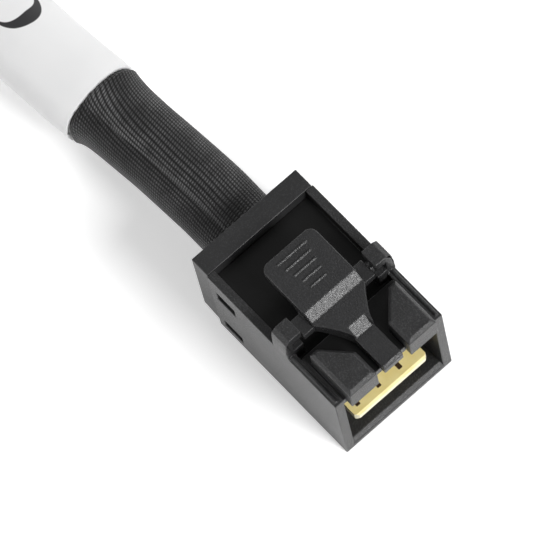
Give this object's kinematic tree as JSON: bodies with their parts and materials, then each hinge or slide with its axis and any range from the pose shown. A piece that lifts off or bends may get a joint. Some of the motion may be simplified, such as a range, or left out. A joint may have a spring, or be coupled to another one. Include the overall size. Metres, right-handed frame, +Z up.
{
  "type": "internal storage data cable",
  "caption": "Flat-oval sleeved internal drive cable with a latching card-edge plug on each end, its spare length wound in a tied coil.",
  "frame": {"origin": "on the resting surface, under the middle of the first plug", "axes": "+X out of the first plug's mouth, +Y to its right-hand side wall, +Z up"},
  "size_m": [0.1396, 0.0864, 0.0133],
  "materials": {
    "housing_plastic": "fine spark-eroded grain, slightly glossy",
    "latch_plastic": "fine spark-eroded grain, satin",
    "insert_plastic": "smooth moulded",
    "card_laminate": "glass-fibre laminate with gold pads",
    "potting_compound": "cast, smooth",
    "wire_foil": "wrapped foil over wire pairs",
    "braided_sleeve": "woven monofilament sleeve",
    "shrink_sleeve": "satin shrunk tube",
    "tie_strap": "hook-and-loop strap"
  },
  "bodies": {
    "cable": {"housing_a": "housing_plastic", "rear_cap_a": "housing_plastic", "card_holder_a": "insert_plastic", "upper_card_a": "card_laminate", "lower_card_a": "card_laminate", "potting_a": "potting_compound", "upper_wires_a": "wire_foil", "lower_wires_a": "wire_foil", "housing_b": "housing_plastic", "rear_cap_b": "housing_plastic", "card_holder_b": "insert_plastic", "upper_card_b": "card_laminate", "lower_card_b": "card_laminate", "potting_b": "potting_compound", "upper_wires_b": "wire_foil", "lower_wires_b": "wire_foil", "cable_lead": "braided_sleeve", "cable_tail": "braided_sleeve", "cable_coil": "braided_sleeve", "shrink_sleeve_a": "shrink_sleeve", "shrink_sleeve_b": "shrink_sleeve", "coil_tie": "tie_strap"},
    "latch_a": {"latch_lever_a": "latch_plastic"},
    "latch_b": {"latch_lever_b": "latch_plastic"}
  },
  "joints": [
    {"name": "latch_a_pivot", "type": "hinge", "parent": "cable", "child": "latch_a", "pos_m": [0.00184, 0, 0.0116], "axis": [0, -1, 0], "range_deg": [0, 8], "stiffness_Nm_per_rad": 0.02},
    {"name": "latch_b_pivot", "type": "hinge", "parent": "cable", "child": "latch_b", "pos_m": [0.00743, -0.075, 0.0116], "axis": [0, -1, 0], "range_deg": [0, 8], "stiffness_Nm_per_rad": 0.02}
  ]
}
